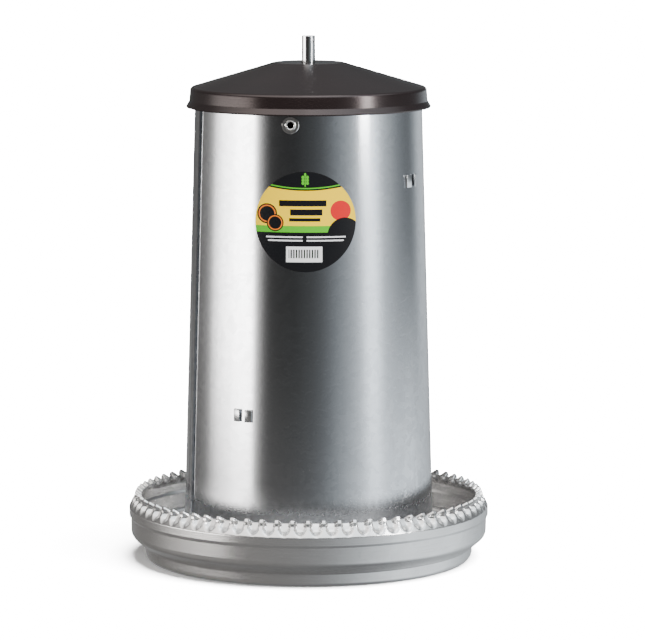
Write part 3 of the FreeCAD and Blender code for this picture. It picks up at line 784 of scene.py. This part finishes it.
hopper_zinc = zinc("hopper_zinc", (0.76, 0.77, 0.79), (0.46, 0.47, 0.49), 0.13, 7, 0.30, 0.25,
                   (260, 260, 9), 0.05)
# Feed and handling dull the zinc towards the foot.
hopper_tree = hopper_zinc.node_tree
polish = hopper_tree.nodes["Principled BSDF"].inputs["Roughness"]
hopper_place = hopper_tree.nodes.new("ShaderNodeTexCoord")
upright = hopper_tree.nodes.new("ShaderNodeSeparateXYZ")
scuffed = hopper_tree.nodes.new("ShaderNodeMapRange")
for name, value in (("From Min", 0.060), ("From Max", 0.105), ("To Min", 0.20), ("To Max", 0.0)):
    scuffed.inputs[name].default_value = value
dulled = hopper_tree.nodes.new("ShaderNodeMath")
hopper_tree.links.new(hopper_place.outputs["Object"], upright.inputs[0])
hopper_tree.links.new(upright.outputs["Z"], scuffed.inputs["Value"])
hopper_tree.links.new(polish.links[0].from_socket, dulled.inputs[0])
hopper_tree.links.new(scuffed.outputs["Result"], dulled.inputs[1])
hopper_tree.links.new(dulled.outputs[0], polish)
show("hopper_rolled", hopper_mesh, hopper_zinc, "hopper", "hopper_zinc", "hopper_shell")
show("hopper_seam", seam_mesh, hopper_zinc, "hopper", "hopper_zinc")


# --- crossbars ------------------------------------------------------------------------------
# Folded channels that keep the hopper centred on the tube. Their flange ends pass out through the
# wall's slots and are bent over towards each other, not quite flat against the drum.
bar_zinc = zinc("bar_zinc", (0.72, 0.73, 0.74), (0.5, 0.5, 0.51), 0.24, 7, 0.08, 0.2, (200, 200, 200), 0.15)
for node in ("upper_crossbar", "lower_crossbar"):
    show(node + "_folded", bevelled_copy(node, 0.3, node + "_folded"), bar_zinc, "hopper", "bar_zinc", node)


# --- eyelets --------------------------------------------------------------------------------
# Nickel-plated hollow rivets: a wide flange outside, a raised bead round the bore, clinched inside.
EYELET_WALL = 0.6
EYELET_BORE = 3.5
EYELET_FLANGE = 9.2
standoff = EYELET_FLANGE ** 2 / 2 / HOPPER_HEAD + EYELET_FLANGE * TAPER + EYELET_WALL / 2
clinch = -HOPPER_WALL - EYELET_WALL / 2 - 0.3
eyelet_path = smooth_corners([
    (EYELET_FLANGE - EYELET_WALL / 2, standoff), (EYELET_BORE + 2.2, standoff, 0.5),
    (EYELET_BORE + 1.6, standoff + 1.3, 0.7), (EYELET_BORE + EYELET_WALL / 2, standoff + 1.3, 0.8),
    (EYELET_BORE + EYELET_WALL / 2, clinch, 0.5), (6.1, clinch - 0.3),
])
nickel = zinc("eyelet_nickel", (0.88, 0.87, 0.85), (0.7, 0.69, 0.67), 0.2, 3, 0.04, 0.15,
              (300, 300, 300), 0.1)
for (bearing, height), node in zip(EYELETS, ("front_eyelet", "back_eyelet")):
    eyelet_mesh = turned_mesh(node + "_pressed", sheet_section(eyelet_path, EYELET_WALL), 64)
    eyelet_mesh.transform(facing(bearing, hopper_radius(height), height))
    show(node + "_pressed", eyelet_mesh, nickel, "hopper", "eyelet_nickel", node)


# --- label ----------------------------------------------------------------------------------
# Round printed film, stuck to the front: black cap, yellow middle, green band and black foot, with
# plain shapes in place of any wording or picture.
LABEL_BEARING = -1.4
LABEL_HEIGHT = 388.0
LABEL_RADIUS = 54.0
LABEL_FILM = 0.17
LABEL_RINGS = 24
LABEL_SPOKES = 96
film = bmesh.new()
uv = film.loops.layers.uv.new("print")
place_on_print = {}


def film_vertex(across, up, lift):
    """A point of the film: across and up from its centre in millimetres, lift off the wall."""
    height = LABEL_HEIGHT + up
    radius = hopper_radius(height) + lift
    out = math.sqrt(radius ** 2 - across ** 2)
    angle = math.radians(LABEL_BEARING)
    x = across * math.cos(angle) + out * math.sin(angle)
    y = across * math.sin(angle) - out * math.cos(angle)
    vertex = film.verts.new((x * MM, y * MM, height * MM))
    place_on_print[vertex] = (0.5 + across / LABEL_RADIUS / 2, 0.5 + up / LABEL_RADIUS / 2)
    return vertex


film_sides = []
for lift in (0.02, LABEL_FILM):
    centre = film_vertex(0, 0, lift)
    film_rings = []
    for k in range(1, LABEL_RINGS + 1):
        reach = LABEL_RADIUS * k / LABEL_RINGS
        film_rings.append([film_vertex(reach * math.cos(2 * math.pi * i / LABEL_SPOKES),
                                       reach * math.sin(2 * math.pi * i / LABEL_SPOKES), lift)
                           for i in range(LABEL_SPOKES)])
    for i in range(LABEL_SPOKES):
        j = (i + 1) % LABEL_SPOKES
        film.faces.new((centre, film_rings[0][i], film_rings[0][j]))
        for a, b in zip(film_rings, film_rings[1:]):
            film.faces.new((a[i], b[i], b[j], a[j]))
    film_sides.append(film_rings[-1])
for i in range(LABEL_SPOKES):
    j = (i + 1) % LABEL_SPOKES
    film.faces.new((film_sides[0][i], film_sides[0][j], film_sides[1][j], film_sides[1][i]))
for face in film.faces:
    for loop in face.loops:
        loop[uv].uv = place_on_print[loop.vert]
film_mesh = bpy.data.meshes.new("label_film")
film.to_mesh(film_mesh)
film.free()
outwards(film_mesh)

label_print = bpy.data.materials.new("label_print")
label_print.use_nodes = True
label_tree = label_print.node_tree
label_shader = label_tree.nodes["Principled BSDF"]
label_place = label_tree.nodes.new("ShaderNodeUVMap")
label_place.uv_map = "print"
label_axes = label_tree.nodes.new("ShaderNodeSeparateXYZ")
label_tree.links.new(label_place.outputs[0], label_axes.inputs[0])


def ink(operation, first, second=0.0, third=0.0):
    """One step of the print's arithmetic."""
    node = label_tree.nodes.new("ShaderNodeMath")
    node.operation = operation
    for socket, value in zip(node.inputs, (first, second, third)):
        if isinstance(value, (int, float)):
            socket.default_value = value
        else:
            label_tree.links.new(value, socket)
    return node.outputs[0]


# u and v run from -1 to 1 across the label.
u = ink("MULTIPLY_ADD", label_axes.outputs["X"], 2.0, -1.0)
v = ink("MULTIPLY_ADD", label_axes.outputs["Y"], 2.0, -1.0)


def below(value, limit):
    """1 where the value is under the limit, otherwise 0."""
    return ink("LESS_THAN", value, limit)


def box_mask(left, right, low, high):
    """1 inside an upright rectangle of the print."""
    sides = ink("MULTIPLY", ink("GREATER_THAN", u, left), below(u, right))
    ends = ink("MULTIPLY", ink("GREATER_THAN", v, low), below(v, high))
    return ink("MULTIPLY", sides, ends)


def oval_mask(x, y, wide, tall):
    """1 inside an oval of the print, sized by its half width and half height."""
    across = ink("DIVIDE", ink("SUBTRACT", u, x), wide)
    up = ink("DIVIDE", ink("SUBTRACT", v, y), tall)
    return below(ink("ADD", ink("MULTIPLY", across, across), ink("MULTIPLY", up, up)), 1.0)


def either(first, second):
    """Two masks joined."""
    return ink("MAXIMUM", first, second)


def printed(mask, colour, over):
    """A colour laid over what is already printed, where the mask is 1."""
    node = label_tree.nodes.new("ShaderNodeMix")
    node.data_type = "RGBA"
    label_tree.links.new(mask, node.inputs[0])
    if isinstance(over, tuple):
        node.inputs[6].default_value = (*over, 1)
    else:
        label_tree.links.new(over, node.inputs[6])
    node.inputs[7].default_value = (*colour, 1)
    return node.outputs[2]


BLACK = (0.006, 0.006, 0.007)
YELLOW = (1.0, 0.66, 0.0)
GREEN = (0.09, 0.46, 0.02)
RED = (0.62, 0.02, 0.02)
ORANGE = (0.80, 0.20, 0.02)
WHITE = (0.85, 0.85, 0.85)
# The cap's lower edge is an arc that sags in the middle.
cap_edge = ink("MULTIPLY_ADD", ink("MULTIPLY", u, u), 0.14, 0.62)
above_cap = ink("SUBTRACT", v, cap_edge)
colour = printed(box_mask(-1.1, 1.1, -0.08, 1.1), YELLOW, BLACK)
colour = printed(box_mask(-1.1, 1.1, -0.21, -0.08), GREEN, colour)
colour = printed(ink("GREATER_THAN", above_cap, 0.0), BLACK, colour)
colour = printed(ink("COMPARE", above_cap, 0.045, 0.012), GREEN, colour)
# A plain ear of grain in the cap, and three solid bars where a title would be.
stalk = box_mask(-0.012, 0.012, 0.70, 0.93)
for k in range(3):
    for side in (-1, 1):
        stalk = either(stalk, oval_mask(side * 0.045, 0.77 + 0.06 * k, 0.028, 0.032))
colour = printed(either(stalk, oval_mask(0, 0.94, 0.022, 0.035)), GREEN, colour)
title = either(box_mask(-0.52, 0.42, 0.31, 0.43), box_mask(-0.30, 0.34, 0.13, 0.25))
colour = printed(either(title, box_mask(-0.32, 0.30, 0.01, 0.075)), BLACK, colour)
for x, y, wide in ((-0.76, 0.16, 0.20), (-0.60, -0.02, 0.17)):
    colour = printed(oval_mask(x, y, wide, wide), BLACK, colour)
    colour = printed(oval_mask(x, y, wide * 0.86, wide * 0.86), ORANGE, colour)
    colour = printed(oval_mask(x, y, wide * 0.74, wide * 0.74), BLACK, colour)
# A red sun over a dark hill stands at the right.
colour = printed(oval_mask(0.70, 0.22, 0.20, 0.20), RED, colour)
colour = printed(oval_mask(0.78, -0.28, 0.34, 0.36), BLACK, colour)
BAR_TALL = 0.028
for low, left, right in (
    (-0.315, -0.78, -0.05), (-0.315, 0.03, 0.80), (-0.385, -0.74, -0.05), (-0.385, 0.03, 0.76),
):
    colour = printed(box_mask(left, right, low, low + BAR_TALL), WHITE, colour)
colour = printed(box_mask(-0.38, 0.34, -0.80, -0.49), WHITE, colour)
# Evenly spaced upright bars on the white panel.
stripe = ink("FRACT", ink("MULTIPLY", u, 19.0))
stripes = ink("MULTIPLY", ink("GREATER_THAN", stripe, 0.45), box_mask(-0.33, 0.29, -0.72, -0.55))
colour = printed(stripes, BLACK, colour)
label_tree.links.new(colour, label_shader.inputs["Base Color"])
label_shader.inputs["Roughness"].default_value = 0.42
label_shader.inputs["Specular IOR Level"].default_value = 0.14
label_shader.inputs["Coat Weight"].default_value = 0.03
label_shader.inputs["Coat Roughness"].default_value = 0.15
show("label_film", film_mesh, label_print, "hopper", "label_film", "label")


# --- lid ------------------------------------------------------------------------------------
# Injection-moulded in dark brown plastic: a flat round the tube, a shallow cone, an upright skirt
# and a small flared lip. It rests on the hopper's folded top edge.
LID_WALL = 2.0
LID_PLAY = 3.5
LID_HOLE = 9.1
LID_FLAT = 38.7
LID_SLOPE = math.radians(16.5)
LID_SKIRT = 20
SKIRT_DRAFT = 1.2
LIP_HEIGHT = 6
LIP_WIDTH = 3.5
lid_corner = HOPPER_HEAD + LID_PLAY + LID_WALL / 2
lid_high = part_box("lid")[1]
lid_top = lid_high.z / MM - LID_WALL / 2
lid_corner_z = lid_top - (lid_corner + LID_WALL / 2 - LID_FLAT) * math.tan(LID_SLOPE)
lip_z = lid_corner_z - LID_SKIRT
lid_path = smooth_corners([
    (LID_HOLE, lid_top), (LID_FLAT, lid_top, 6), (lid_corner, lid_corner_z, 3),
    (lid_corner + SKIRT_DRAFT, lip_z + LIP_HEIGHT, 2), (lid_corner + SKIRT_DRAFT + LIP_WIDTH, lip_z),
], arc_steps=8)
lid_mesh = turned_mesh("lid_moulded", sheet_section(lid_path, LID_WALL), 288)
lid_plastic = bpy.data.materials.new("lid_plastic")
lid_plastic.use_nodes = True
lid_tree = lid_plastic.node_tree
lid_shader = lid_tree.nodes["Principled BSDF"]
lid_shader.inputs["IOR"].default_value = 1.5
lid_shader.inputs["Specular Tint"].default_value = (1.0, 0.86, 0.84, 1)
lid_place = lid_tree.nodes.new("ShaderNodeTexCoord")
lid_texture = lid_tree.nodes.new("ShaderNodeTexNoise")
lid_texture.inputs["Scale"].default_value = 900
lid_texture.inputs["Detail"].default_value = 2
lid_clouds = lid_tree.nodes.new("ShaderNodeTexNoise")
lid_clouds.inputs["Scale"].default_value = 18
lid_clouds.inputs["Detail"].default_value = 4
lid_tint = lid_tree.nodes.new("ShaderNodeMix")
lid_tint.data_type = "RGBA"
lid_tint.inputs[6].default_value = (0.007, 0.0045, 0.0045, 1)
lid_tint.inputs[7].default_value = (0.012, 0.008, 0.008, 1)
lid_gloss = lid_tree.nodes.new("ShaderNodeMapRange")
lid_gloss.inputs["To Min"].default_value = 0.17
lid_gloss.inputs["To Max"].default_value = 0.26
lid_bump = lid_tree.nodes.new("ShaderNodeBump")
lid_bump.inputs["Strength"].default_value = 0.12
lid_bump.inputs["Distance"].default_value = 0.0002
for start, end in (
    (lid_place.outputs["Object"], lid_texture.inputs["Vector"]),
    (lid_place.outputs["Object"], lid_clouds.inputs["Vector"]),
    (lid_clouds.outputs["Fac"], lid_tint.inputs[0]),
    (lid_tint.outputs[2], lid_shader.inputs["Base Color"]),
    (lid_clouds.outputs["Fac"], lid_gloss.inputs["Value"]),
    (lid_gloss.outputs["Result"], lid_shader.inputs["Roughness"]),
    (lid_texture.outputs["Fac"], lid_bump.inputs["Height"]),
    (lid_bump.outputs[0], lid_shader.inputs["Normal"]),
):
    lid_tree.links.new(start, end)
show("lid_moulded", lid_mesh, lid_plastic, "lid", "lid_plastic", "lid")
